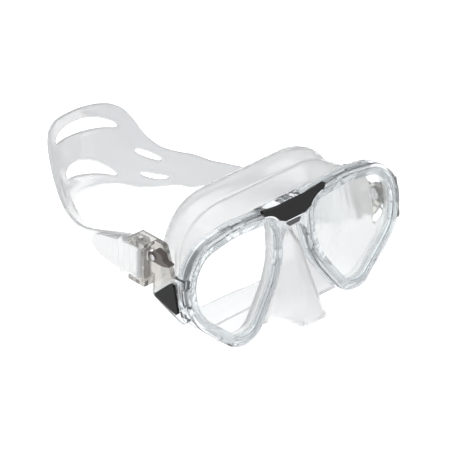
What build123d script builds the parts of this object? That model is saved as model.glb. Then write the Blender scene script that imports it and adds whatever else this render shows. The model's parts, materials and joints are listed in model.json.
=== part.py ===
from build123d import *
import math
import os

# Twin-lens diving mask with a silicone skirt, swivel buckles and a head strap.
#
# Millimetres. +Z is up, the lenses face -Y, +X is on the right seen from the front.
# The mask stands on its frame and skirt with the lens plane leaning back by LEAN.
# Parts of the mask itself are drawn in "mask space": X across, Y depth behind the
# lens plane, Z along the lens plane, with the origin midway between the lenses.
# The buckles and the strap are drawn level, round the buckle pivot. The right-hand buckle
# then hangs down on its pivot, as it does when the strap is laid to one side.

os.makedirs("parts", exist_ok=True)

# ---------------------------------------------------------------- driving sizes
LEAN = 7.3                       # how far the lens plane leans back, degrees
STAND = 45.905                   # lens centre above the table
SHIFT_Y = -68.43                 # puts the middle of the whole length over the origin

# Opening of the right-hand lens ring: corners of a polygon and the radius of each.
LENS_CORNERS = [(14.6, 21), (16.4, -8), (41.5, -43.5), (75.2, -12.5), (76.2, 18), (44, 22.8)]
LENS_RADII = [8.5, 45, 11.5, 26, 19, 60]

RETAINER_EDGE = 4.4              # ring widths, all measured out from the opening
LENS_EDGE = 3.0
LIP_EDGE = 3.3
FRAME_EDGE = 6.6
SEAT_GAP = 0.1                   # snap fit play round the retainer

RETAINER_FRONT = -0.8            # depths behind the lens plane
FRAME_FRONT = 0.3
FRAME_ROUND = 1.2                # edge radii of the two clear mouldings
RETAINER_ROUND = 0.8
GLASS_FRONT = 2.2
GLASS_BACK = 5.4
LIP_FRONT = 7.5
FRAME_BACK = 8.7

CLIP_LENGTH = 9.6                # snap clips: window size, and the tabs of the retainer in them
CLIP_WIDTH = 7.0
CLIP_DEPTH = 4.2
TAB_WIDTH = 3.2
TAB_DEPTHS = (0.6, 3.8)
TAB_PLAY = 0.2
CLIP_SPOTS = [(39.7, 27.6, 3), (80.9, 0, 88), (55.2, -36.2, 44), (10.6, -2.3, 88)]

BRIDGE_HALF = 22
BRIDGE_TOP = 28.6
BRIDGE_FOOT = 4.0
NOSE_ARCH = 8.7

BADGE_OUTLINE = [(-25, 31), (-21.6, 25.2), (-12.5, 21), (-5, 17.6), (5, 17.6),
                 (12.5, 21), (21.6, 25.2), (25, 31), (12, 29.3), (-12, 29.3)]
BADGE_RADII = [1, 1.5, 14, 6, 6, 14, 1.5, 1, 30, 30]
BADGE_FRONT = -1.9
TRIM_FRONT = -1.2
TRIM_WIDTH = 1.0
TRIM_HALF = 8.0                  # straight middle of the trim
TRIM_TOP = 26.6                  # the trim ends below the badge's upper edge
INLAY_OUTLINE = [(-6.4, 16.4), (-3.6, 13.6), (3.6, 13.6), (6.4, 16.4)]
INLAY_DEPTH = 0.7

LUG_IN = 79.5                    # side lugs and badges, |X|
LUG_OUT = 82.5
LUG_OUTLINE = [(2, 10.2), (2, -17), (8, -16.5), (28.6, -5.6), (28.6, -1.5), (10.5, 10.2)]
LUG_RADII = [1, 4, 6, 3, 2, 3]
SIDE_BADGE_OUTLINE = [(9.2, 8.8), (7.6, -12.2), (27, -4.0)]
SIDE_BADGE_RADII = [2.4, 1.6, 1.6]
SIDE_BADGE_OUT = 83.9
SIDE_BADGE_SINK = 0.8

SKIRT_WALL = 1.8
CHAMBER = [                      # depth, corners of the right half, radii
    (8.8, [(44, 27.0), (75, 22.6), (75, -19), (52, -44.6)], [40, 23, 24, 13]),
    (27.0, [(33, 31.9), (63, 27.5), (66, -20), (55, -41.2)], [40, 30, 28, 15]),
    (32.0, [(31, 35.6), (63, 32.5), (64, -18), (53.5, -40.4)], [40, 31, 32, 15]),
    (42.0, [(30, 37.2), (61.5, 34), (61.5, -14), (50, -40.9)], [40, 30, 36, 16]),
]
SEAL_WIDTH = 7.0                 # inward feather edge round the face opening
POCKET_BASE = [(5.4, 10.5), (7.8, -6), (14.5, -44.4)]
POCKET_RIDGE = [(1.8, 2), (2.9, -10), (8.4, -45.8)]
POCKET_TIP = -2.5                # depth of the top of the nose ridge
POCKET_SLOPE = 0.21              # how fast the ridge runs forward on its way down

PIVOT_Y = 15.5                   # buckle swivel axis, level coordinates
PIVOT_Z = -3.3
RIGHT_DROP = 60                  # how far the right-hand buckle hangs below the left one, degrees
PIN_R = 2.2
PIN_PLAY = 0.05
PLATE_IN = 75.9                  # buckle body, |X|
PLATE_OUT = 79.1
PLATE_OUTLINE = [(15.5, 2.7), (15.5, -9.3), (31.4, -9.6), (31.4, 23.4), (22.5, 23.4)]
PLATE_RADII = [1.5, 2, 2.5, 1.2, 3]
BARREL_R = 6.0
CAGE_OUT = 87.2
CAGE_FRONT = 29.6
CAGE_WALL = 1.8
CAGE_BACK = 42.5
CHEEK_LOW = (-3.0, -0.6)
CHEEK_HIGH = (20.6, 23.4)

ROLLER_X = 82.0
ROLLER_Y = 37.6
ROLLER_R = 3.0
ROLLER_LENGTH = 20.4
ROLLER_PIN_R = 1.2

LATCH_Y = 26.0
LATCH_Z = 16.4
LATCH_IN = 79.5
LATCH_OUT = 83.6
LATCH_PIN_R = 1.1
LATCH_OUTLINE = [(13.5, 15.9), (13.5, 14.9), (19, 13.4), (29.2, 13.4), (29.2, 17), (25, 21.4), (19.5, 20.4), (18, 16.6)]
LATCH_RADII = [0.3, 0.3, 2, 0.8, 2.5, 2.5, 2.2, 2]
PAWL = (29.0, 31.8, 14.2, 16.2)  # rear and low limits of the latch's pawl: Y, Y, Z, Z

BAND = 2.0                       # strap thickness
WRAP_GAP = 0.3                   # strap to roller
STRAP_Z = 10.0
STRAP_END = 20.4                 # strap height at the buckles
WRAP_STEPS = 12                  # flats round each roller, and along the band
BAND_STEPS = 44
# Strap centre line from the left buckle round the back to the hanging right one.
STRAP_PATH = [(-77.7, 37.6, 10), (-79.4, 54, 8.5), (-79.6, 73, 4), (-74, 92, -1), (-66.5, 112, -1),
              (-56, 134, 8.5), (-29, 149, 7), (2, 144, 1), (19, 127, -8), (35, 110, -13),
              (53, 91.5, -20.5), (65.5, 76, -27), (73.2, 62.5, -30.3), (76.8, 52, -29.2),
              (77.7, 44, -23.8), (77.7, 38.07, -15.79)]
STRAP_LEAD = (0.5, 0.5)          # how far the straight leads at its two ends reach
# Outward lean of the band in degrees, by distance along the centre line.
STRAP_LEAN = [(0, 0), (18, 2), (38, 16), (58, 36), (79, 24), (104, 12), (134, 8), (190, 12),
              (213, 15), (241, 14), (275, 6), (300, 0)]
STRAP_TILT = [(235, 0), (275, 1)]  # share of the line's slope that the sections follow
PAD_AT = 141                     # distance along the centre line to the pad's middle
# Distance from the pad's middle, then the top and bottom edges above the centre line.
STRAP_EDGES = [(0, 28.3, -22.6), (20, 27.6, -22.4), (28, 25, -22.4), (34, 19, -22), (40, 12, -20),
               (49, 8.6, -16.2), (60, 8.6, -11.5), (70, 9, -11.5), (80, 7, -7), (105, 8.6, -8.6),
               (135, 10.2, -10.2)]
# Slots: start and end from the pad's middle, top edge and bottom edge at start, middle, end.
SLOTS = [(-26, 25, (17.5, 21.5, 14.8), (14.5, 13.6, 12.4)),
         (-26, 23, (-4.5, -4.2, -16.6), (-8.5, -12.9, -17.8)),
         (33, 52, (1.4, 3.0, 1.8), (-0.4, -1.0, 0.6)),
         (36, 57, (-11.6, -9.2, -6.9), (-13.0, -12.2, -7.9)),
         (-52, -33, (1.8, 3.0, 1.4), (0.6, -1.0, -0.4)),
         (-57, -36, (-6.9, -9.2, -11.6), (-7.9, -12.2, -13.0))]
# Free tails outside the buckles: X, Y, Z, height, downward slope in degrees.
TAIL_LEFT = [(86.3, 37.6, 10, 20.4, 0), (86.4, 54, 9, 18, 0), (85.2, 66, 7.5, 13, 0),
             (84.2, 75, 6.4, 6, 0)]
TAIL_RIGHT = [(86.3, 38.07, -15.79, 20.4, 60), (86.3, 39.6, -18.4, 20.4, 60), (86.4, 44.5, -24.2, 19, 40),
              (86.2, 51.1, -28.1, 18, 20), (85.8, 58.6, -29.4, 14, 0), (85.2, 70, -29.4, 6, 0)]


# ---------------------------------------------------------------- helpers
def rounded(corners, radii):
    """Closed polygon with rounded corners, as a face."""
    return make_face(FilletPolyline(*corners, radius=radii, close=True))


def slab(face, front, back):
    """Prism of an X-Z face between two depths."""
    return extrude(Plane.XZ.offset(-back) * face, amount=back - front, dir=(0, -1, 0))


def side_slab(face, low, high):
    """Prism of a Y-Z face between two X values."""
    return extrude(Plane.YZ.offset(low) * face, amount=high - low, dir=(1, 0, 0))


def x_rod(y, z, radius, low, high):
    """Round bar along X."""
    return Plane.YZ.offset(low) * Pos(y, z, (high - low) / 2) * Cylinder(radius, high - low)


def block(x, y, z):
    """Box from three (low, high) pairs."""
    centre = [sum(pair) / 2 for pair in (x, y, z)]
    size = [pair[1] - pair[0] for pair in (x, y, z)]
    return Pos(*centre) * Box(*size)


def both(shape):
    """A shape together with its mirror image in X."""
    return shape + mirror(shape, about=Plane.YZ)


def lens_area(grow=0.0):
    """Face of the right-hand lens opening, grown outwards."""
    area = rounded(LENS_CORNERS, LENS_RADII)
    return offset(area, amount=grow) if grow else area


def clip_areas(length, width):
    """Rectangles at the snap clips of the right-hand ring."""
    areas = [Pos(x, z) * Rot(0, 0, turn) * Rectangle(length, width) for x, z, turn in CLIP_SPOTS]
    return Sketch() + areas


def mask_place(shape):
    """From mask space to the standing position."""
    return Pos(0, SHIFT_Y, STAND) * Rot(-LEAN, 0, 0) * shape


def level_place(shape):
    """From level coordinates to the standing position."""
    return Pos(0, SHIFT_Y, STAND) * shape


def drop(shape):
    """From the level attitude to that of the hanging right-hand buckle."""
    pivot = Pos(0, PIVOT_Y, PIVOT_Z)
    return pivot * Rot(-RIGHT_DROP, 0, 0) * pivot.inverse() * shape


def to_mask(y, z):
    """Level (Y, Z) as mask space (depth, height)."""
    c, s = math.cos(math.radians(LEAN)), math.sin(math.radians(LEAN))
    return y * c - z * s, y * s + z * c


# ---------------------------------------------------------------- frame and glass
def front_frame():
    """Both rings, the bridge and the side lugs, in one moulding."""
    seat = RETAINER_EDGE + SEAT_GAP
    bridge = Pos(0, (BRIDGE_TOP + BRIDGE_FOOT) / 2) * Rectangle(2 * BRIDGE_HALF, BRIDGE_TOP - BRIDGE_FOOT)
    arch = Pos(0, BRIDGE_FOOT) * Circle(NOSE_ARCH)
    face = both(lens_area(FRAME_EDGE)) + (bridge - arch)
    body = slab(face, FRAME_FRONT, FRAME_BACK)
    body = fillet(body.faces().sort_by(Axis.Y)[0].edges(), FRAME_ROUND)
    body = fillet(body.faces().sort_by(Axis.Y)[-1].edges(), FRAME_ROUND / 2)
    lug = side_slab(rounded(LUG_OUTLINE, LUG_RADII), LUG_IN, LUG_OUT)
    pivot = to_mask(PIVOT_Y, PIVOT_Z)
    lug -= x_rod(*pivot, PIN_R, LUG_IN - 1, LUG_OUT + 1)
    pocket = side_slab(rounded(SIDE_BADGE_OUTLINE, SIDE_BADGE_RADII), LUG_OUT - SIDE_BADGE_SINK, LUG_OUT + 1)
    body += both(lug)
    body -= both(slab(lens_area(seat), RETAINER_FRONT, LIP_FRONT))
    body -= both(slab(lens_area(LIP_EDGE), LIP_FRONT, FRAME_BACK + 1))
    windows = slab(clip_areas(CLIP_LENGTH, CLIP_WIDTH), RETAINER_FRONT, CLIP_DEPTH)
    body -= both(windows + pocket)
    body -= slab(rounded(INLAY_OUTLINE, [0.8] * 4), FRAME_FRONT, FRAME_FRONT + INLAY_DEPTH)
    return body


def retainer():
    """Snap ring that clamps the glass and the skirt flange into the frame."""
    ring = slab(lens_area(RETAINER_EDGE) - lens_area(), RETAINER_FRONT, GLASS_FRONT)
    ring = fillet(ring.faces().sort_by(Axis.Y)[0].edges(), RETAINER_ROUND)
    ring += slab(lens_area(RETAINER_EDGE) - lens_area(LENS_EDGE), GLASS_FRONT, GLASS_BACK)
    room = lens_area(FRAME_EDGE - TAB_PLAY) - lens_area(RETAINER_EDGE - 0.5)
    tabs = clip_areas(CLIP_LENGTH - 2 * TAB_PLAY, TAB_WIDTH) & room
    return ring + slab(tabs, *TAB_DEPTHS)


def lens():
    """Tempered glass pane."""
    return slab(lens_area(LENS_EDGE), GLASS_FRONT, GLASS_BACK)


# ---------------------------------------------------------------- skirt
def chamber(shrink, front, back):
    """Air space or outer wall of the skirt behind the frame."""
    faces = []
    depths = [front] + [row[0] for row in CHAMBER[1:-1]] + [back]
    for depth, (_, corners, radii) in zip(depths, CHAMBER):
        left = [(-x, z) for x, z in reversed(corners)]
        area = rounded(left + corners, radii[::-1] + radii)
        if shrink:
            area = offset(area, amount=-shrink)
        faces.append(Plane.XZ.offset(-depth) * area)
    return loft(faces, ruled=True)


def nose_pocket(shrink, base_depth):
    """Wedge that the nose fills: a wide base in the gap, a narrow ridge in front."""
    def ring(half, depth):
        right = [(x - 0.8 * shrink, z + (0.6 if z < -20 else -0.6) * shrink) for x, z in half]
        right = [(x, depth(z) + 0.9 * shrink, z) for x, z in right]
        left = [(-x, y, z) for x, y, z in reversed(right)]
        return make_face(Polyline(*(right + left), close=True))
    base = ring(POCKET_BASE, lambda z: base_depth)
    ridge = ring(POCKET_RIDGE, lambda z: POCKET_TIP - POCKET_SLOPE * (POCKET_RIDGE[0][1] - z))
    return loft([ridge, base], ruled=True)


def skirt():
    """Silicone skirt: flanges in the frame, chamber, seal edge and nose pocket."""
    first, last = CHAMBER[0][0], CHAMBER[-1][0]
    outer = chamber(0, first, last) + nose_pocket(0, first + 0.4)
    inner = chamber(SKIRT_WALL, first + SKIRT_WALL, last - SKIRT_WALL)
    face_area = rounded([(-x, z) for x, z in reversed(CHAMBER[-1][1])] + CHAMBER[-1][1],
                        CHAMBER[-1][2][::-1] + CHAMBER[-1][2])
    mouth = slab(offset(face_area, amount=-SEAL_WIDTH), last - 2 * SKIRT_WALL, last + 1)
    body = outer - inner - nose_pocket(SKIRT_WALL, first + SKIRT_WALL + 0.6) - mouth
    body += both(slab(lens_area(RETAINER_EDGE), GLASS_BACK, LIP_FRONT))
    body += both(slab(lens_area(LIP_EDGE), LIP_FRONT, first + 0.2))
    body -= both(slab(lens_area(0.3), GLASS_BACK - 1, first + SKIRT_WALL + 0.5))
    return body


# ---------------------------------------------------------------- badges
def bridge_area():
    """Face shared by the bridge badge and its trim: clear of both retainers."""
    area = rounded(BADGE_OUTLINE, BADGE_RADII)
    return area - both(lens_area(RETAINER_EDGE + SEAT_GAP))


def bridge_badge():
    """Glossy cover over the middle of the frame."""
    above = offset(both(lens_area(RETAINER_EDGE + SEAT_GAP)), amount=TRIM_WIDTH)
    foot = BADGE_OUTLINE[4][1]
    floor = Pos(0, foot + TRIM_WIDTH / 2) * Rectangle(2 * TRIM_HALF, TRIM_WIDTH)
    return slab(bridge_area() - above - floor, BADGE_FRONT, FRAME_FRONT)


def bridge_trim():
    """Bright strip along the lower edge of the badge."""
    strip = slab(bridge_area(), TRIM_FRONT, FRAME_FRONT)
    return strip - bridge_badge() - block((-40, 40), (-5, 5), (TRIM_TOP, 40))


def bridge_inlay():
    """Smoked insert under the badge."""
    return slab(rounded(INLAY_OUTLINE, [0.8] * 4), FRAME_FRONT - 0.3, FRAME_FRONT + INLAY_DEPTH)


def side_badge():
    """Black triangular cap over the buckle pivot."""
    face = rounded(SIDE_BADGE_OUTLINE, SIDE_BADGE_RADII)
    return side_slab(face, LUG_OUT - SIDE_BADGE_SINK, SIDE_BADGE_OUT)


# ---------------------------------------------------------------- buckle
def buckle_pivot():
    """Headed pin through the lug and the buckle body."""
    pin = x_rod(PIVOT_Y, PIVOT_Z, PIN_R, 75.0, LUG_OUT - SIDE_BADGE_SINK)
    return pin + x_rod(PIVOT_Y, PIVOT_Z, 3.6, 75.0, 75.7)


def buckle_body():
    """Swivel plate with a cage for the roller."""
    plate = side_slab(rounded(PLATE_OUTLINE, PLATE_RADII), PLATE_IN, PLATE_OUT)
    body = plate + x_rod(PIVOT_Y, PIVOT_Z, BARREL_R, PLATE_IN, PLATE_OUT)
    wall = (CAGE_FRONT, CAGE_FRONT + CAGE_WALL)
    body += block((PLATE_IN, CAGE_OUT), wall, (CHEEK_LOW[0], CHEEK_HIGH[1]))
    for low, high in (CHEEK_LOW, CHEEK_HIGH):
        body += block((PLATE_IN, CAGE_OUT), (CAGE_FRONT, CAGE_BACK), (low, high))
    body -= x_rod(PIVOT_Y, PIVOT_Z, PIN_R + PIN_PLAY, PLATE_IN - 1, PLATE_OUT + 1)
    body -= x_rod(LATCH_Y, LATCH_Z, LATCH_PIN_R, PLATE_IN - 1, PLATE_OUT + 1)
    body -= Pos(ROLLER_X, ROLLER_Y, STRAP_Z) * Cylinder(ROLLER_PIN_R, 40)
    body -= block((LATCH_IN - 0.6, LATCH_OUT + 0.6), (CAGE_FRONT - 1, wall[1] + 1), (12.6, 18.6))
    return body


def roller():
    """Free-turning sleeve that the strap wraps."""
    sleeve = Cylinder(ROLLER_R, ROLLER_LENGTH) - Cylinder(ROLLER_PIN_R + PIN_PLAY, ROLLER_LENGTH + 2)
    return Pos(ROLLER_X, ROLLER_Y, STRAP_Z) * sleeve


def roller_pin():
    """Axle of the roller, flush with both cheeks."""
    length = CHEEK_HIGH[1] - CHEEK_LOW[0]
    return Pos(ROLLER_X, ROLLER_Y, (CHEEK_HIGH[1] + CHEEK_LOW[0]) / 2) * Cylinder(ROLLER_PIN_R, length)


def latch():
    """Thumb lever whose pawl holds the strap against the roller."""
    lever = side_slab(rounded(LATCH_OUTLINE, LATCH_RADII), LATCH_IN, LATCH_OUT)
    y0, y1, z0, z1 = PAWL
    lever += block((LATCH_IN + 0.6, LATCH_OUT - 0.6), (y0 - 1, y1), (z0, z1))
    lever -= x_rod(LATCH_Y, LATCH_Z, LATCH_PIN_R + PIN_PLAY, LATCH_IN - 1, LATCH_OUT + 1)
    lever -= x_rod(LATCH_Y, LATCH_Z, 2.7, LATCH_IN - 1, LATCH_IN + 2.2)
    return lever


def latch_pin():
    """Pin of the thumb lever, with a small outer head."""
    pin = x_rod(LATCH_Y, LATCH_Z, LATCH_PIN_R, PLATE_IN, LATCH_OUT + 0.8)
    return pin + x_rod(LATCH_Y, LATCH_Z, 1.9, LATCH_OUT + 0.15, LATCH_OUT + 0.8)


def latch_spring():
    """Torsion spring round the lever's pin."""
    wire, mean = 0.3, 1.9
    path = Helix(pitch=0.75, height=1.5, radius=mean)
    coil = sweep(Plane(path @ 0, z_dir=path % 0) * Circle(wire), path=path)
    return Plane.YZ.offset(LATCH_IN + 0.35) * Pos(LATCH_Y, LATCH_Z) * coil


# ---------------------------------------------------------------- strap
def between(table, x):
    """Straight-line interpolation in rows of (x, value, value, ...)."""
    x = min(max(x, table[0][0]), table[-1][0])
    for low, high in zip(table, table[1:]):
        if x <= high[0]:
            part = (x - low[0]) / (high[0] - low[0])
            return [a + (b - a) * part for a, b in zip(low[1:], high[1:])]
    return list(table[-1][1:])


LEAD_OUT = (0, -math.cos(math.radians(RIGHT_DROP)), math.sin(math.radians(RIGHT_DROP)))
STRAP_LINE = Spline(*STRAP_PATH, tangents=[(0, 1, 0), LEAD_OUT], tangent_scalars=STRAP_LEAD)


def across(point, along, lean, low, high, thickness=BAND):
    """Rectangle across the strap: its place, its direction and its outward lean."""
    outward = Vector(-along.Y, along.X, 0).normalized()
    lean = math.radians(lean)
    up = along.cross(outward) * math.cos(lean) + outward * math.sin(lean)
    section = Pos((low + high) / 2, 0) * Rectangle(high - low, thickness)
    return Plane(point, x_dir=up, z_dir=along) * section


def band_section(distance, low, high, thickness=BAND):
    """Rectangle across the band at a distance along its centre line."""
    point = STRAP_LINE.position_at(distance, position_mode=PositionMode.LENGTH)
    along = STRAP_LINE.tangent_at(distance, position_mode=PositionMode.LENGTH)
    along = Vector(along.X, along.Y, along.Z * between(STRAP_TILT, distance)[0]).normalized()
    return across(point, along, between(STRAP_LEAN, distance)[0], low, high, thickness)


def bend(values, part):
    """Parabola through three values at 0, 1/2 and 1."""
    start, middle, end = values
    return start + (4 * middle - 3 * start - end) * part + (2 * start + 2 * end - 4 * middle) * part ** 2


def strap_slot(start, end, top, bottom):
    """Cutter for one slot in the pad."""
    sections = []
    for step in range(7):
        part = step / 6
        distance = PAD_AT + start + (end - start) * part
        sections.append(band_section(distance, bend(bottom, part), bend(top, part), 4 * BAND))
    return loft(sections, ruled=True)


def strap_end(side, tail):
    """Sections round a roller and along its free tail, from the band outwards; side is 1 or -1."""
    radius = ROLLER_R + WRAP_GAP + BAND / 2
    wrap = []
    for step in range(1, WRAP_STEPS):
        turn = math.pi * step / WRAP_STEPS
        place = Vector(side * (ROLLER_X - radius * math.cos(turn)), ROLLER_Y - radius * math.sin(turn), STRAP_Z)
        along = Vector(math.sin(turn), -side * math.cos(turn), 0)
        wrap.append(across(place, along, 0, -STRAP_END / 2, STRAP_END / 2))
    if side == 1:
        wrap = [drop(section) for section in wrap]
    free = []
    for x, y, z, height, slope in tail:
        slope = math.radians(slope)
        along = Vector(0, side * math.cos(slope), -side * math.sin(slope))
        free.append(across(Vector(side * x, y, z), along, 0, -height / 2, height / 2))
    return wrap + free


def strap():
    """Head strap: pad with slots, side bands, wraps and tails in one moulding."""
    sections = []
    for step in range(BAND_STEPS + 1):
        distance = STRAP_LINE.length * step / BAND_STEPS
        top, bottom = between(STRAP_EDGES, abs(distance - PAD_AT))
        sections.append(band_section(distance, bottom, top))
    body = loft(strap_end(-1, TAIL_LEFT)[::-1] + sections + strap_end(1, TAIL_RIGHT), ruled=True)
    for slot in SLOTS:
        body -= strap_slot(*slot)
    return body


# ---------------------------------------------------------------- output
def export(name, shape):
    export_step(Part() + shape, f"parts/{name}.step")


def export_pair(name, shape):
    """A right-hand piece and its mirror image on the left."""
    export(f"{name}_right", shape)
    export(f"{name}_left", mirror(shape, about=Plane.YZ))


export("front_frame", mask_place(front_frame()))
export("skirt", mask_place(skirt()))
export("bridge_badge", mask_place(bridge_badge()))
export("bridge_trim", mask_place(bridge_trim()))
export("bridge_inlay", mask_place(bridge_inlay()))
for name, shape in (("lens", lens()), ("retainer", retainer()), ("side_badge", side_badge())):
    export_pair(name, mask_place(shape))
export_pair("buckle_pivot", level_place(buckle_pivot()))
for name, shape in (("buckle_body", buckle_body()), ("roller", roller()), ("roller_pin", roller_pin()),
                    ("latch", latch()), ("latch_pin", latch_pin()), ("latch_spring", latch_spring())):
    export(f"{name}_right", level_place(drop(shape)))
    export(f"{name}_left", level_place(mirror(shape, about=Plane.YZ)))
export("strap", level_place(strap()))
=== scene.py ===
import json
import math

import bpy
import numpy as np
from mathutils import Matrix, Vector


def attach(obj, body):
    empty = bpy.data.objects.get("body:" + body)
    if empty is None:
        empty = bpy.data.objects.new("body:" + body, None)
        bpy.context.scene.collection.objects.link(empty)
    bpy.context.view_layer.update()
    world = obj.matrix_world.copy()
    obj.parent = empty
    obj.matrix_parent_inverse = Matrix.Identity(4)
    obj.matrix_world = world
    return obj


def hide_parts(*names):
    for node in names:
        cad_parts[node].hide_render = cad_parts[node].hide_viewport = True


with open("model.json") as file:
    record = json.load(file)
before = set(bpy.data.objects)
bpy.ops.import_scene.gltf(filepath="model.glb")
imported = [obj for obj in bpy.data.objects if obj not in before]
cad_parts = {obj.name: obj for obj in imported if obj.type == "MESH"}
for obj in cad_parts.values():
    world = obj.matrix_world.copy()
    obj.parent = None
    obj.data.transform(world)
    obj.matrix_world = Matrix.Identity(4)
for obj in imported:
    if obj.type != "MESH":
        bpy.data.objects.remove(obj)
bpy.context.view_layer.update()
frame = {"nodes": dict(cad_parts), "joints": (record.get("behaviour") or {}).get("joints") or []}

# The skirt and the strap are drawn in millimetres round the middle of the two lenses and
# moved into the frame at the end. "Level" coordinates are the frame's own directions.
# "Mask" coordinates lean back with the lenses: across, depth behind them, height along them.
MM = 0.001
LEAN = math.radians(7.3)
PIVOT_FROM_MIDDLE = np.array((0.0, 15.5, -3.3))
SWING = next(j for j in frame["joints"] if j["name"] == "strap_swing")
MIDDLE = np.array(SWING["pos_m"]) / MM - PIVOT_FROM_MIDDLE
ARC_STEPS = 6                    # flats in each rounded corner of an outline
TINY = 1e-12


# ---------------------------------------------------------------- small helpers
def to_frame(points):
    """Level millimetres to metres in the frame."""
    return (np.asarray(points, float) + MIDDLE) * MM


def lean_back(points):
    """Mask coordinates to level coordinates."""
    u, d, h = np.asarray(points, float).T
    c, s = math.cos(LEAN), math.sin(LEAN)
    return np.stack((u, d * c + h * s, h * c - d * s), 1)


def smooth_max(a, b, k):
    """Maximum of two distances with the corner rounded over a width k."""
    blend = np.clip(k - np.abs(a - b), 0, None) / k
    return np.maximum(a, b) + blend * blend * k / 4


def smooth_min(a, b, k):
    """Minimum of two distances, rounded in the same way."""
    return -smooth_max(-a, -b, k)


def ease(x, low, high):
    """0 below low, 1 above high, smooth between."""
    t = np.clip((x - low) / (high - low), 0, 1)
    return t * t * (3 - 2 * t)


def rounded_outline(corners, radii):
    """Closed polygon with its corners replaced by arcs."""
    corners = np.asarray(corners, float)
    points = []
    for i, (corner, radius) in enumerate(zip(corners, radii)):
        back = corners[i - 1] - corner
        ahead = corners[(i + 1) % len(corners)] - corner
        back /= np.linalg.norm(back)
        ahead /= np.linalg.norm(ahead)
        half = math.acos(np.clip(back @ ahead, -1, 1)) / 2
        bisector = (back + ahead) / np.linalg.norm(back + ahead)
        centre = corner + bisector * radius / math.sin(half)
        first = corner + back * radius / math.tan(half) - centre
        last = corner + ahead * radius / math.tan(half) - centre
        start = math.atan2(first[1], first[0])
        turn = (math.atan2(last[1], last[0]) - start + math.pi) % (2 * math.pi) - math.pi
        for k in range(ARC_STEPS + 1):
            angle = start + turn * k / ARC_STEPS
            points.append(centre + radius * np.array((math.cos(angle), math.sin(angle))))
    return np.array(points)


def outline_distance(outline, x, y):
    """Signed distance from each (x, y) to a closed outline, negative inside."""
    best = np.full(x.shape, np.inf)
    inside = np.zeros(x.shape, bool)
    for a, b in zip(outline, np.roll(outline, -1, 0)):
        e = b - a
        length = e @ e
        if length < TINY:
            continue
        px, py = x - a[0], y - a[1]
        t = np.clip((px * e[0] + py * e[1]) / length, 0, 1)
        best = np.minimum(best, (px - e[0] * t) ** 2 + (py - e[1] * t) ** 2)
        crosses = (a[1] > y) != (b[1] > y)
        with np.errstate(divide="ignore", invalid="ignore"):
            at = a[0] + (y - a[1]) * e[0] / (e[1] if e[1] else TINY)
        inside ^= crosses & (x < at)
    return np.where(inside, -1, 1) * np.sqrt(best)


def surface_of(field, axes):
    """Vertices and faces of the zero surface of a sampled field, by surface nets.

    Each grid cell that the surface passes gets one vertex, the mean of its edge crossings.
    Each grid edge that the surface crosses gets one face, from the four cells round it.
    """
    shape = np.array(field.shape)
    cells = tuple(shape - 1)
    total = np.zeros((3,) + cells)
    count = np.zeros(cells)
    index = np.indices(field.shape).astype(float)
    crossings = []
    for axis in range(3):
        low = [slice(None)] * 3
        high = [slice(None)] * 3
        low[axis], high[axis] = slice(None, -1), slice(1, None)
        f0, f1 = field[tuple(low)], field[tuple(high)]
        cross = (f0 < 0) != (f1 < 0)
        part = np.where(cross, f0 / np.where(cross, f0 - f1, 1), 0)
        place = [index[a][tuple(low)] + (part if a == axis else 0) for a in range(3)]
        others = [a for a in range(3) if a != axis]
        for i in (0, 1):
            for j in (0, 1):
                window = [slice(None)] * 3
                window[others[0]] = slice(i, shape[others[0]] - 1 + i)
                window[others[1]] = slice(j, shape[others[1]] - 1 + j)
                window = tuple(window)
                hit = cross[window]
                count += hit
                for a in range(3):
                    total[a] += place[a][window] * hit
        crossings.append((axis, others, cross, f0 < 0))
    used = count > 0
    number = np.full(cells, -1)
    number[used] = np.arange(used.sum())
    at = np.stack([total[a][used] / count[used] for a in range(3)], 1)
    vertices = np.stack([np.interp(at[:, a], np.arange(shape[a]), axes[a]) for a in range(3)], 1)
    faces = []
    for axis, others, cross, inside in crossings:
        spots = np.argwhere(cross)
        ok = np.ones(len(spots), bool)
        for a in others:
            ok &= (spots[:, a] > 0) & (spots[:, a] < shape[a] - 1)
        spots = spots[ok]
        corners = []
        for i, j in ((1, 1), (0, 1), (0, 0), (1, 0)):
            cell = spots.copy()
            cell[:, others[0]] -= i
            cell[:, others[1]] -= j
            corners.append(number[tuple(cell.T)])
        quads = np.stack(corners, 1)
        flip = inside[tuple(spots.T)]
        if axis == 1:
            flip = ~flip
        quads[~flip] = quads[~flip][:, ::-1]
        faces.append(quads)
    return vertices, np.concatenate(faces)


def mesh_piece(name, vertices, faces, material, body, replaced):
    """Adds a smooth-shaded piece on a body, standing for the CAD nodes it replaces."""
    mesh = bpy.data.meshes.new(name)
    mesh.from_pydata([tuple(v) for v in vertices], [], [tuple(int(i) for i in f) for f in faces])
    mesh.validate()
    mesh.update()
    mesh.materials.append(material)
    mesh.polygons.foreach_set("use_smooth", [True] * len(mesh.polygons))
    piece = bpy.data.objects.new(name, mesh)
    bpy.context.scene.collection.objects.link(piece)
    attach(piece, body)
    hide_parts(*replaced)


# ---------------------------------------------------------------- materials
PLASTIC_IOR = 1.5
GLASS_IOR = 1.5
SILICONE_IOR = 1.41
PLASTIC_SHARE = 0.93             # light that each face lets through to the shadow
GLASS_SHARE = 0.97
NOISE_DETAIL = 3.0
NOISE_RANGE = (0.3, 0.7)         # the noise values that reach the ends of the roughness spread
FINE_RELIEF = 0.0002             # depths of the surface relief, metres
SOFT_RELIEF = 0.0003


def new_material(name, colour, roughness, **sockets):
    """Principled material; extra sockets by name, with underscores for spaces."""
    material = bpy.data.materials.new(name)
    material.use_nodes = True
    shader = material.node_tree.nodes["Principled BSDF"]
    shader.inputs["Base Color"].default_value = (*colour, 1)
    shader.inputs["Roughness"].default_value = roughness
    for key, value in sockets.items():
        shader.inputs[key.replace("_", " ")].default_value = value
    return material


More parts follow.
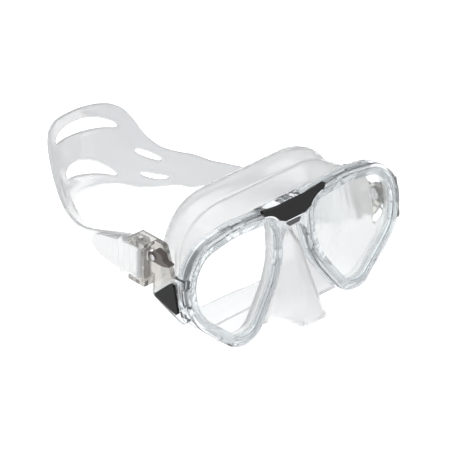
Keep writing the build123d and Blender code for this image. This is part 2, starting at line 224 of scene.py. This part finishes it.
def add_noise(material, scale, rough, bump=0.0, relief=FINE_RELIEF, stretch=(1, 1, 1)):
    """Object-space noise as a spread of roughness (low, high) and as relief where bump is set."""
    tree = material.node_tree
    shader = tree.nodes["Principled BSDF"]
    place = tree.nodes.new("ShaderNodeTexCoord")
    scaled = tree.nodes.new("ShaderNodeMapping")
    scaled.inputs["Scale"].default_value = stretch
    noise = tree.nodes.new("ShaderNodeTexNoise")
    noise.inputs["Scale"].default_value = scale
    noise.inputs["Detail"].default_value = NOISE_DETAIL
    tree.links.new(place.outputs["Object"], scaled.inputs["Vector"])
    tree.links.new(scaled.outputs["Vector"], noise.inputs["Vector"])
    if bump:
        bumps = tree.nodes.new("ShaderNodeBump")
        bumps.inputs["Strength"].default_value = bump
        bumps.inputs["Distance"].default_value = relief
        tree.links.new(noise.outputs["Fac"], bumps.inputs["Height"])
        tree.links.new(bumps.outputs["Normal"], shader.inputs["Normal"])
    spread = tree.nodes.new("ShaderNodeMapRange")
    spread.inputs["From Min"].default_value = NOISE_RANGE[0]
    spread.inputs["From Max"].default_value = NOISE_RANGE[1]
    spread.inputs["To Min"].default_value = rough[0]
    spread.inputs["To Max"].default_value = rough[1]
    tree.links.new(noise.outputs["Fac"], spread.inputs["Value"])
    tree.links.new(spread.outputs["Result"], shader.inputs["Roughness"])
    return material


def pass_light(material, share):
    """Lets this share of the light through each face of a clear piece, so its shadow stays pale."""
    tree = material.node_tree
    path = tree.nodes.new("ShaderNodeLightPath")
    through = tree.nodes.new("ShaderNodeBsdfTransparent")
    through.inputs["Color"].default_value = (share, share, share, 1)
    mix = tree.nodes.new("ShaderNodeMixShader")
    tree.links.new(path.outputs["Is Shadow Ray"], mix.inputs[0])
    tree.links.new(tree.nodes["Principled BSDF"].outputs["BSDF"], mix.inputs[1])
    tree.links.new(through.outputs["BSDF"], mix.inputs[2])
    tree.links.new(mix.outputs["Shader"], tree.nodes["Material Output"].inputs["Surface"])
    return material


def clear_plastic(name, colour, clear):
    """Polished see-through plastic."""
    material = new_material(name, colour, 0.03, IOR=PLASTIC_IOR, Transmission_Weight=clear)
    add_noise(material, 160, rough=(0.015, 0.048), bump=0.02)
    return pass_light(material, PLASTIC_SHARE)


def silicone(name, colour, clear, share):
    """Milky see-through silicone."""
    material = new_material(name, colour, 0.2, IOR=SILICONE_IOR, Transmission_Weight=clear)
    add_noise(material, 90, rough=(0.14, 0.26), bump=0.05, relief=SOFT_RELIEF)
    return pass_light(material, share)


def lens_glass():
    """Clear glass with a trace of unevenness in its polish."""
    material = new_material("lens_glass", (0.975, 0.99, 0.985), 0.0, IOR=GLASS_IOR,
                            Transmission_Weight=1.0)
    add_noise(material, 40, rough=(0.0, 0.012))
    return pass_light(material, GLASS_SHARE)


def hard(name, colour, roughness, scale, rough, bump=0.0, relief=FINE_RELIEF,
         stretch=(1, 1, 1), **sockets):
    """Solid plastic or metal whose roughness wanders between the two values of rough."""
    material = new_material(name, colour, roughness, **sockets)
    return add_noise(material, scale, rough, bump, relief, stretch)


FRAME_CLEAR = clear_plastic("frame_clear", (0.94, 0.97, 0.985), 0.96)
RING_CLEAR = clear_plastic("ring_clear", (0.95, 0.98, 1.0), 0.9)
LENS_GLASS = lens_glass()
SKIRT_SILICONE = silicone("skirt_silicone", (0.975, 0.978, 0.982), 0.7, 0.9)
STRAP_SILICONE = silicone("strap_silicone", (0.84, 0.85, 0.86), 0.45, 0.85)
GLOSS_BLACK = hard("gloss_black", (0.008, 0.008, 0.009), 0.08, 220, (0.05, 0.14), 0.03,
                   Specular_IOR_Level=0.22)
BRIGHT_TRIM = hard("bright_trim", (0.86, 0.88, 0.9), 0.12, 400, (0.08, 0.2), Metallic=1.0)
SMOKED_INLAY = hard("smoked_inlay", (0.05, 0.05, 0.055), 0.1, 300, (0.06, 0.16), Coat_Weight=0.4)
SMOKED_BUCKLE = hard("smoked_buckle", (0.78, 0.76, 0.725), 0.12, 260, (0.08, 0.22), 0.05,
                     IOR=PLASTIC_IOR, Transmission_Weight=0.85)
DARK_LEVER = hard("dark_lever", (0.2, 0.17, 0.15), 0.15, 260, (0.1, 0.25), 0.05,
                  IOR=PLASTIC_IOR, Transmission_Weight=0.35)
GREY_ROLLER = hard("grey_roller", (0.62, 0.62, 0.62), 0.4, 300, (0.3, 0.5), 0.08, SOFT_RELIEF)
STEEL_PIN = hard("steel_pin", (0.66, 0.66, 0.68), 0.25, 600, (0.18, 0.35), 0.05,
                 stretch=(0.1, 1, 1), Metallic=1.0)
SPRING_STEEL = hard("spring_steel", (0.55, 0.55, 0.57), 0.3, 900, (0.22, 0.4), Metallic=1.0)

CAD_MATERIALS = {
    "front_frame": FRAME_CLEAR, "retainer": RING_CLEAR, "lens": LENS_GLASS,
    "bridge_badge": GLOSS_BLACK, "bridge_trim": BRIGHT_TRIM, "bridge_inlay": SMOKED_INLAY,
    "side_badge": GLOSS_BLACK, "buckle_pivot": STEEL_PIN, "buckle_body": SMOKED_BUCKLE,
    "roller_pin": STEEL_PIN, "roller": GREY_ROLLER, "latch_pin": STEEL_PIN,
    "latch_spring": SPRING_STEEL, "latch": DARK_LEVER}


def dress_cad_nodes():
    """Gives each carried-over CAD node its material, by its name without the side."""
    for name, node in frame["nodes"].items():
        kind = name.removesuffix("_left").removesuffix("_right")
        if kind in CAD_MATERIALS:
            node.data.materials.clear()
            node.data.materials.append(CAD_MATERIALS[kind])


# ---------------------------------------------------------------- skirt
# Mask coordinates: across u, depth d behind the lenses, height h.
LENS_CORNERS = [(14.6, 21), (16.4, -8), (41.5, -43.5), (75.2, -12.5), (76.2, 18), (44, 22.8)]
LENS_RADII = [8.5, 45, 11.5, 26, 19, 60]
# Depth, then the corners of the right half and their radii, of three sections of the skirt.
CHAMBER = [(9.1, [(44, 26.8), (75, 22.4), (75, -19), (52, -44.4)], [40, 23, 24, 13]),
           (27.0, [(33, 31.8), (63, 27.4), (66, -20), (55, -42.6)], [40, 30, 28, 15]),
           (42.0, [(30, 36.8), (61.5, 33.8), (61.5, -14), (50, -40.8)], [40, 30, 36, 16])]
GRID = 0.8                       # sample spacing
ACROSS = (-81, 81 + GRID / 2)    # sampled ranges
DEPTHS = (-15, 50)
HEIGHTS = (-48, 42)

SKIRT_WALL = 1.8
SEAL_THINNING = (0.9, 30, 44)    # the wall loses this much between these depths
CREASE = (28.0, 0.8, 1.2)        # groove in front of the seal: depth, how deep cut, half width
SWELLING = (36, 0.5, 4.0)        # rounded bulge behind it, in the same way
LAST_BLEND = (0.5, 8)            # the rear section takes over this far behind the middle one
SEAL_BACK = 43.4                 # depth of the seal's rear edge at the forehead
TEMPLE = (3.0, 61, -2, 20)       # further back at the temples: by, across, height, spread
LIP = (6.0, 12, 44)              # further forward towards the lip: by, from and to this far down
NOSE_SIDE = (3.0, 16, 10, 40)    # further forward below the nose: by, spread across, from, to
REAR_ROUNDING = 6.5
FRONT_ROUNDING = 2.5

MOUTH_FRONT = 28                 # the face opening begins at this depth
SEAL_WIDTH = 8.5
HOLE = (0.6, 13)                 # opening for the glass: outside the lens outline, rear depth
FLANGE = (4.1, 5.6, 7.3)         # ring clamped behind the glass: outside, front and rear depth
NECK = (3.0, 6.5, 9.8)           # ring that joins the flange to the chamber

POCKET_HEIGHTS = [-45.8, -6, 2, 10.5]
POCKET_BASE = [14.5, 7.8, 6.8, 5.4]
POCKET_RIDGE = [8.4, 2.6, 1.8, 1.6]
RIDGE_BEND = (2, -2.5)           # height and depth where the ridge of the nose changes slope
RIDGE_SLOPES = (0.21, 1.33)      # depth per height below and above the bend
POCKET_ROOT = 10                 # depth at which the pocket is widest
POCKET_BACK = 15
POCKET_FOOT = -45.4
DENT = (1.5, -23, 12, 0.5, 0.3)  # finger dent: how deep, height, spread, share of depth, spread
FOOT_FLARE = (0.9, 39, 43)       # wider at the foot: by, from and to this far down
RIDGE_ROUNDING = 2.2
FOOT_ROUNDING = 5.0
BACK_ROUNDING = 2
# Widths over which the parts of the skirt run into each other.
POCKET_JOIN = 4
WALL_JOIN = 0.5
MOUTH_ROUNDING = 2
HOLE_ROUNDING = 1
RING_ROUNDING = 0.4
RING_JOIN = 0.3
SHELL_JOIN = 0.6


def mirrored_outline(corners, radii):
    """Rounded outline of both halves, from the corners of the right one."""
    left = [(-x, z) for x, z in reversed(corners)]
    return rounded_outline(left + corners, radii[::-1] + radii)


def seal_back(u, h):
    """Depth of the seal's rear edge, shaped to a face."""
    by, across, height, spread = TEMPLE
    back = SEAL_BACK + by * ((np.abs(u) / across) ** 2 * np.exp(-((h - height) / spread) ** 2))
    by, high, low = LIP
    back = back - by * ease(-h, high, low)
    by, spread, high, low = NOSE_SIDE
    return back - by * np.exp(-(u / spread) ** 2) * ease(-h, high, low)


def chamber_field(u, d, h):
    """Distance to the skirt's outer skin without the nose pocket."""
    sections = [outline_distance(mirrored_outline(corners, radii), u[:, :1, :], h[:, :1, :])
                for _, corners, radii in CHAMBER]
    front, middle, _ = (depth for depth, _, _ in CHAMBER)
    t = np.clip((d - front) / (middle - front), 0, 1)
    swell = np.sin(t * math.pi / 2)
    first = sections[0] * (1 - swell) + sections[1] * swell
    last = ease(d, middle + LAST_BLEND[0], middle + LAST_BLEND[1])
    side = first * (1 - last) + sections[2] * last
    at, cut, width = CREASE
    side = side + cut * np.exp(-((d - at) / width) ** 2)
    at, bulge, width = SWELLING
    side = side - bulge * np.exp(-((d - at) / width) ** 2)
    body = smooth_max(side, d - seal_back(u, h), REAR_ROUNDING)
    return smooth_max(body, front - d, FRONT_ROUNDING)


def pocket_field(u, d, h):
    """Distance to the skirt's outer skin round the nose."""
    turn, depth = RIDGE_BEND
    below, above = RIDGE_SLOPES
    ridge = np.where(h < turn, depth - below * (turn - h), depth + (h - turn) * above)
    along = np.clip((d - ridge) / (POCKET_ROOT - ridge), 0, 1)
    base = np.interp(h, POCKET_HEIGHTS, POCKET_BASE)
    crest = np.interp(h, POCKET_HEIGHTS, POCKET_RIDGE)
    width = crest + (base - crest) * along
    cut, height, spread, share, share_spread = DENT
    dent = np.exp(-((h - height) / spread) ** 2 - ((along - share) / share_spread) ** 2)
    flare, high, low = FOOT_FLARE
    width = width - cut * dent + flare * ease(-h, high, low)
    field = smooth_max(np.abs(u) - width, ridge - d, RIDGE_ROUNDING)
    field = smooth_max(field, POCKET_FOOT - h, FOOT_ROUNDING)
    return smooth_max(field, d - POCKET_BACK, BACK_ROUNDING)


def collar(lens, d, outside, front, back):
    """Distance to a ring round a lens, between two depths."""
    ring = smooth_max(lens - outside, front - d, RING_ROUNDING)
    return smooth_max(ring, d - back, RING_ROUNDING)


def make_skirt():
    """One silicone moulding: chamber, seal, nose pocket and the flanges behind the glass."""
    axes = [np.arange(*span, GRID) for span in (ACROSS, DEPTHS, HEIGHTS)]
    u, d, h = np.meshgrid(*axes, indexing="ij")
    flat = (u[:, :1, :], h[:, :1, :])
    outer = smooth_min(chamber_field(u, d, h), pocket_field(u, d, h), POCKET_JOIN)
    loss, begin, end = SEAL_THINNING
    wall = SKIRT_WALL - loss * ease(d, begin, end)
    shell = smooth_max(outer, -(outer + wall), WALL_JOIN)
    mouth = outline_distance(mirrored_outline(*CHAMBER[-1][1:]), *flat) + SEAL_WIDTH
    mouth = smooth_max(mouth, MOUTH_FRONT - d, MOUTH_ROUNDING)
    shell = smooth_max(shell, -mouth, SHELL_JOIN)
    lens = outline_distance(rounded_outline(LENS_CORNERS, LENS_RADII), np.abs(flat[0]), flat[1])
    rings = smooth_min(collar(lens, d, *FLANGE), collar(lens, d, *NECK), RING_JOIN)
    shell = smooth_min(shell, rings, SHELL_JOIN)
    hole = smooth_max(lens - HOLE[0], d - HOLE[1], HOLE_ROUNDING)
    shell = smooth_max(shell, -hole, SHELL_JOIN)
    vertices, faces = surface_of(shell, axes)
    mesh_piece("silicone_skirt", to_frame(lean_back(vertices)), faces, SKIRT_SILICONE, "mask",
               ["skirt"])


# ---------------------------------------------------------------- strap
# Centre line from the left buckle round the back to the hanging right one, level millimetres.
STRAP_PATH = [(-77.7, 37.6, 10), (-79.4, 54, 8.5), (-79.6, 73, 4), (-74, 92, -1), (-66.5, 112, -1),
              (-56, 134, 8.5), (-29, 149, 7), (2, 144, 1), (19, 127, -8), (35, 110, -13),
              (53, 91.5, -20.5), (65.5, 76, -27), (73.2, 62.5, -30.3), (76.8, 52, -29.2),
              (77.7, 44, -23.8), (77.7, 38.07, -15.79)]
# Outward lean of the band in degrees, by the distance along it.
STRAP_LEAN = [(0, 0), (18, 2), (38, 16), (58, 34), (75, 37), (90, 32), (106, 19), (134, 8),
              (190, 12), (213, 15), (241, 14), (275, 6), (300, 0), (400, 0)]
LEAN_EASE = 6.0                  # the lean is eased over this, and grows from nothing at the ends
STRAP_TILT = (235, 275)          # between these the sections begin to follow the band's slope
PAD_AT = 141                     # middle of the split pad, distance along the band
# Distance from the middle of the pad, then the upper and the lower edge there.
STRAP_EDGES = [(0, 28.3, -22.6), (20, 27.6, -22.4), (28, 25, -22.4), (34, 19, -22), (40, 12, -20),
               (49, 8.6, -16.2), (60, 8.6, -11.5), (70, 9, -11.5), (80, 7, -7), (105, 8.6, -8.6),
               (135, 10.2, -10.2), (400, 10.2, -10.2)]
# Start and end from the middle of the pad, then the upper and the lower edge at three places.
SLOTS = [(-26, 25, (17.5, 21.5, 14.8), (14.5, 13.6, 12.4)),
         (-26, 23, (-4.5, -4.2, -16.6), (-8.5, -12.9, -17.8)),
         (33, 52, (1.4, 3.0, 1.8), (-0.4, -1.0, 0.6)),
         (36, 57, (-11.6, -9.2, -6.9), (-13.0, -12.2, -7.9)),
         (-52, -33, (1.8, 3.0, 1.4), (0.6, -1.0, -0.4)),
         (-57, -36, (-6.9, -9.2, -11.6), (-7.9, -12.2, -13.0))]
# Centre lines of the tails from the rollers on, level millimetres.
TAIL_LEFT = [(-86.3, 37.6, 10), (-86.4, 54, 9), (-85.2, 66, 7.5), (-84.2, 75, 6.4)]
TAIL_RIGHT = [(86.3, 38.07, -15.79), (86.3, 39.6, -18.4), (86.4, 44.5, -24.2), (86.2, 51.1, -28.1),
              (85.8, 58.6, -29.4), (85.2, 70, -29.4)]
# Distance along the tail and half its height there.
TAIL_HEIGHTS = [(0, 10.2), (10, 9.6), (16.5, 9.2), (28.5, 7.2), (34, 5.4), (37.6, 3.4)]
TAIL_EASE = 1.2
TIP_ROUNDING = 5
EARS = (10.5, 2.7, 1.5)          # stop ears: distance along the tail, reach, half length
RIBS = (1.5, 20.0, 2.3)          # grip ribs on the tail: start, end and spacing
RIB_HEIGHT = 0.45
RIB_INSET = (0.8, 2.0)           # they rise between these distances in from the edge
RIM = (0.18, 1.4, 2.6)           # raised rim: height, and where it ends in from the edge
SLOT_ROUNDING = 4                # at the slots' ends
SLOT_SIDES = 0.6                 # along their sides
SLOT_LIP = 0.8                   # where they meet the strap's own edge
ROLLER_AT = (82.0, 37.6, 10.0)   # level coordinates of the roller on an upright buckle
RIGHT_DROP = math.radians(60)    # the right-hand buckle hangs this far below the left one
WRAP_R = 4.3
WRAP_POINTS = 60
BAND_HALF = 1.0                  # half the silicone's thickness
EDGE_ROUNDING = 0.9
CURVE_POINTS = 7200
MIN_STEP = 1e-4                  # closer neighbours on the centre line count as one point
# Sample spacings along, across and through the strap, and the last two ranges.
STRAP_GRID = (0.9, 0.75, 0.45)
STRAP_HEIGHTS = (-27, 32.5)
STRAP_LAYERS = (-2.25, 2.3)


def step_lengths(points):
    """Distances between neighbouring points."""
    return np.linalg.norm(np.diff(points, axis=0), axis=1)


def cubic_through(points, first, last=None):
    """Points on a smooth curve through the given ones; without last it ends straight."""
    points = np.asarray(points, float)
    knots = np.concatenate(([0], np.cumsum(step_lengths(points))))
    gaps = np.diff(knots)
    size = len(points)
    matrix = np.zeros((size, size))
    right = np.zeros((size, 3))
    matrix[0, 0] = matrix[-1, -1] = 1
    right[0] = first
    right[-1] = (points[-1] - points[-2]) / gaps[-1] if last is None else last
    for i in range(1, size - 1):
        matrix[i, i - 1:i + 2] = gaps[i], 2 * (gaps[i] + gaps[i - 1]), gaps[i - 1]
        right[i] = 3 * (gaps[i] * (points[i] - points[i - 1]) / gaps[i - 1]
                        + gaps[i - 1] * (points[i + 1] - points[i]) / gaps[i])
    slopes = np.linalg.solve(matrix, right)
    t = np.linspace(0, knots[-1], CURVE_POINTS)
    i = np.clip(np.searchsorted(knots, t) - 1, 0, size - 2)
    x = ((t - knots[i]) / gaps[i])[:, None]
    g = gaps[i][:, None]
    return ((1 + 2 * x) * (1 - x) ** 2 * points[i] + x * (1 - x) ** 2 * g * slopes[i]
            + x * x * (3 - 2 * x) * points[i + 1] + x * x * (x - 1) * g * slopes[i + 1])


def wrap_arc(side):
    """Half turn of the strap round a roller, from the band outwards."""
    turn = np.linspace(0, math.pi, WRAP_POINTS)
    x, y, z = ROLLER_AT
    across = side * (x - WRAP_R * np.cos(turn))
    back = y - WRAP_R * np.sin(turn) - PIVOT_FROM_MIDDLE[1]
    up = np.full(WRAP_POINTS, z - PIVOT_FROM_MIDDLE[2])
    fall = RIGHT_DROP if side == 1 else 0.0
    c, s = math.cos(fall), math.sin(fall)
    return np.stack((across, back * c + up * s, up * c - back * s), 1) + PIVOT_FROM_MIDDLE


def strap_line():
    """Centre line from tail to tail, the distance along it and the length of the band.

    The distance is 0 where the band leaves the left-hand roller.
    """
    fall = np.array((0, math.cos(RIGHT_DROP), -math.sin(RIGHT_DROP)))
    line = np.concatenate([cubic_through(TAIL_LEFT, (0, 1, 0))[::-1], wrap_arc(-1)[::-1],
                           cubic_through(STRAP_PATH, (0, 1, 0), -fall), wrap_arc(1),
                           cubic_through(TAIL_RIGHT, fall)])
    line = line[np.concatenate(([True], step_lengths(line) > MIN_STEP))]
    distance = np.concatenate(([0], np.cumsum(step_lengths(line))))
    start, end = (np.linalg.norm(line - np.array(STRAP_PATH[i]), axis=1).argmin()
                  for i in (0, -1))
    return line, distance - distance[start], distance[end] - distance[start]


def smooth_table(table, column, s, width=3.0):
    """A column of a table along s, with its corners eased over the width to either side."""
    table = np.asarray(table, float)
    shifts = np.linspace(-width, width, 9)
    return sum(np.interp(s + shift, table[:, 0], table[:, column])
               for shift in shifts) / len(shifts)


def bend(values, part):
    """Parabola through three values at 0, 1/2 and 1."""
    start, middle, end = values
    slope = 4 * middle - 3 * start - end
    curve = 2 * start + 2 * end - 4 * middle
    return start + slope * part + curve * part ** 2


def strap_outline(s, v, length):
    """Distance to the strap's edge in its own plane, and the distance along the nearer tail."""
    away = np.abs(s - PAD_AT)
    tail = np.maximum(-s, s - length) - math.pi * WRAP_R
    at, reach, half_length = EARS
    half = smooth_table(TAIL_HEIGHTS, 1, tail, TAIL_EASE)
    ears = reach * np.exp(-((tail - at) / half_length) ** 4)
    top = np.where(tail > 0, half + ears, smooth_table(STRAP_EDGES, 1, away))
    bottom = np.where(tail > 0, -half - ears, smooth_table(STRAP_EDGES, 2, away))
    edge = np.abs(v - (top + bottom) / 2) - (top - bottom) / 2
    edge = smooth_max(edge, tail - TAIL_HEIGHTS[-1][0], TIP_ROUNDING)
    for start, end, high, low in SLOTS:
        part = np.clip((s - PAD_AT - start) / (end - start), 0, 1)
        slot = smooth_max(v - bend(high, part), bend(low, part) - v, SLOT_SIDES)
        ends = np.abs(s - PAD_AT - (start + end) / 2) - (end - start) / 2
        edge = smooth_max(edge, -smooth_max(slot, ends, SLOT_ROUNDING), SLOT_LIP)
    return edge, tail


def strap_field(s, v, t, length):
    """Distance to the skin of the strap laid out flat: along, across and through it."""
    edge, tail = strap_outline(s, v, length)
    start, end, pitch = RIBS
    rib = np.cos((tail - start) / pitch * 2 * math.pi) * 0.5 + 0.5
    rib = rib * (tail > start) * (tail < end) * ease(-edge, *RIB_INSET)
    height, begin, finish = RIM
    half = BAND_HALF - height * ease(-edge, begin, finish)
    edge, rib, half = edge[:, :, None], rib[:, :, None], half[:, :, None]
    thick = np.where(t < 0, -t - half - RIB_HEIGHT * rib, t - half)
    return smooth_max(edge, thick, EDGE_ROUNDING)


def bent_to_shape(flat, line, distance, length):
    """Moves points of the flat strap to their places round the centre line."""
    along = np.gradient(line, distance, axis=0)
    along[:, 2] *= np.interp(distance, STRAP_TILT, (0, 1))
    along /= np.linalg.norm(along, axis=1)[:, None]
    at = flat[:, 0]
    place = np.stack([np.interp(at, distance, line[:, a]) for a in range(3)], 1)
    ahead = np.stack([np.interp(at, distance, along[:, a]) for a in range(3)], 1)
    out = np.stack((-ahead[:, 1], ahead[:, 0], np.zeros(len(at))), 1)
    out /= np.linalg.norm(out, axis=1)[:, None]
    straight = np.cross(ahead, out)
    lean = np.radians(smooth_table(STRAP_LEAN, 1, at, LEAN_EASE))
    lean = (lean * ease(at, 0, LEAN_EASE) * ease(length - at, 0, LEAN_EASE))[:, None]
    up = straight * np.cos(lean) + out * np.sin(lean)
    face_out = out * np.cos(lean) - straight * np.sin(lean)
    return place + up * flat[:, 1:2] + face_out * flat[:, 2:3]


def make_strap():
    """One silicone moulding: pad, bands, the wraps round the rollers and the ribbed tails."""
    line, distance, length = strap_line()
    spans = (distance[0] - 2, distance[-1] + 2), STRAP_HEIGHTS, STRAP_LAYERS
    axes = [np.arange(*span, step) for span, step in zip(spans, STRAP_GRID)]
    s, v = np.meshgrid(axes[0], axes[1], indexing="ij")
    flat, faces = surface_of(strap_field(s, v, axes[2][None, None, :], length), axes)
    points = bent_to_shape(flat, line, distance, length)
    mesh_piece("head_strap", to_frame(points), faces, STRAP_SILICONE, "harness",
               ["strap"])


# ---------------------------------------------------------------- studio
FLOOR_SIZE = 6                   # metres
FLOOR_GLOW = 0.62
WORLD_STRENGTH = 0.5
# Colour of the sky from the horizon up, by the height of the direction looked in.
WORLD_STOPS = [(0.0, (0.3, 0.32, 0.35, 1)), (0.12, (0.86, 0.88, 0.9, 1)), (0.75, (1, 1, 1, 1))]
# Name, place, size and power of each lamp; all aim at the middle of the floor.
LAMPS = [("key", (-0.2, -0.7, 1.8), (1.2, 0.8), 3.5),
         ("back", (0.5, 1.4, 1.3), (1.4, 0.6), 3)]
CAMERA_BACK = Vector((-0.588, -0.622, 0.5165)).normalized()
CAMERA_DISTANCE = 2.13
CAMERA_AIM = (-39.0, 10.98)      # aim point from the middle of the lenses: right and up, mm
CAMERA_LENS = 305.9
SENSOR_WIDTH = 36


def aim_along(item, direction):
    """Turns a camera or a lamp to look in a direction, upright."""
    item.rotation_mode = "QUATERNION"
    item.rotation_quaternion = direction.to_track_quat("-Z", "Y")


def make_floor():
    """Pale floor that glows a little, as in a photograph on white."""
    bpy.ops.mesh.primitive_plane_add(size=FLOOR_SIZE)
    floor = bpy.context.object
    floor.name = "floor"
    material = new_material("floor_pale", (0.9, 0.9, 0.9), 0.85)
    shader = material.node_tree.nodes["Principled BSDF"]
    shader.inputs["Emission Color"].default_value = (1, 1, 1, 1)
    shader.inputs["Emission Strength"].default_value = FLOOR_GLOW
    floor.data.materials.append(material)


def make_world():
    """Soft overhead light that falls off towards the horizon."""
    world = bpy.data.worlds.new("studio")
    bpy.context.scene.world = world
    world.use_nodes = True
    tree = world.node_tree
    background = tree.nodes["Background"]
    place = tree.nodes.new("ShaderNodeTexCoord")
    split = tree.nodes.new("ShaderNodeSeparateXYZ")
    ramp = tree.nodes.new("ShaderNodeValToRGB")
    stops = ramp.color_ramp.elements
    stops.new(WORLD_STOPS[1][0])
    for stop, (position, colour) in zip(stops, WORLD_STOPS):
        stop.position, stop.color = position, colour
    tree.links.new(place.outputs["Generated"], split.inputs["Vector"])
    tree.links.new(split.outputs["Z"], ramp.inputs["Fac"])
    tree.links.new(ramp.outputs["Color"], background.inputs["Color"])
    background.inputs["Strength"].default_value = WORLD_STRENGTH


def area_light(name, place, size, power):
    """Rectangular lamp."""
    data = bpy.data.lights.new(name, "AREA")
    data.shape = "RECTANGLE"
    data.size, data.size_y = size
    data.energy = power
    light = bpy.data.objects.new(name, data)
    bpy.context.scene.collection.objects.link(light)
    light.location = place
    aim_along(light, -Vector(place))


def make_camera():
    """Camera with a long lens, from the front left and above."""
    right = Vector((-CAMERA_BACK.y, CAMERA_BACK.x, 0)).normalized()
    up = CAMERA_BACK.cross(right)
    middle = Vector(to_frame([(0, 0, 0)])[0])
    aim = middle + right * CAMERA_AIM[0] * MM + up * CAMERA_AIM[1] * MM
    data = bpy.data.cameras.new("camera")
    data.lens = CAMERA_LENS
    data.sensor_width = SENSOR_WIDTH
    data.clip_start = 0.1
    data.clip_end = 50
    camera = bpy.data.objects.new("camera", data)
    bpy.context.scene.collection.objects.link(camera)
    camera.location = aim + CAMERA_BACK * CAMERA_DISTANCE
    aim_along(camera, -CAMERA_BACK)
    bpy.context.scene.camera = camera


make_camera()
make_floor()
make_world()
for lamp in LAMPS:
    area_light(*lamp)
bpy.context.scene.view_settings.view_transform = "Standard"

dress_cad_nodes()
make_skirt()
make_strap()
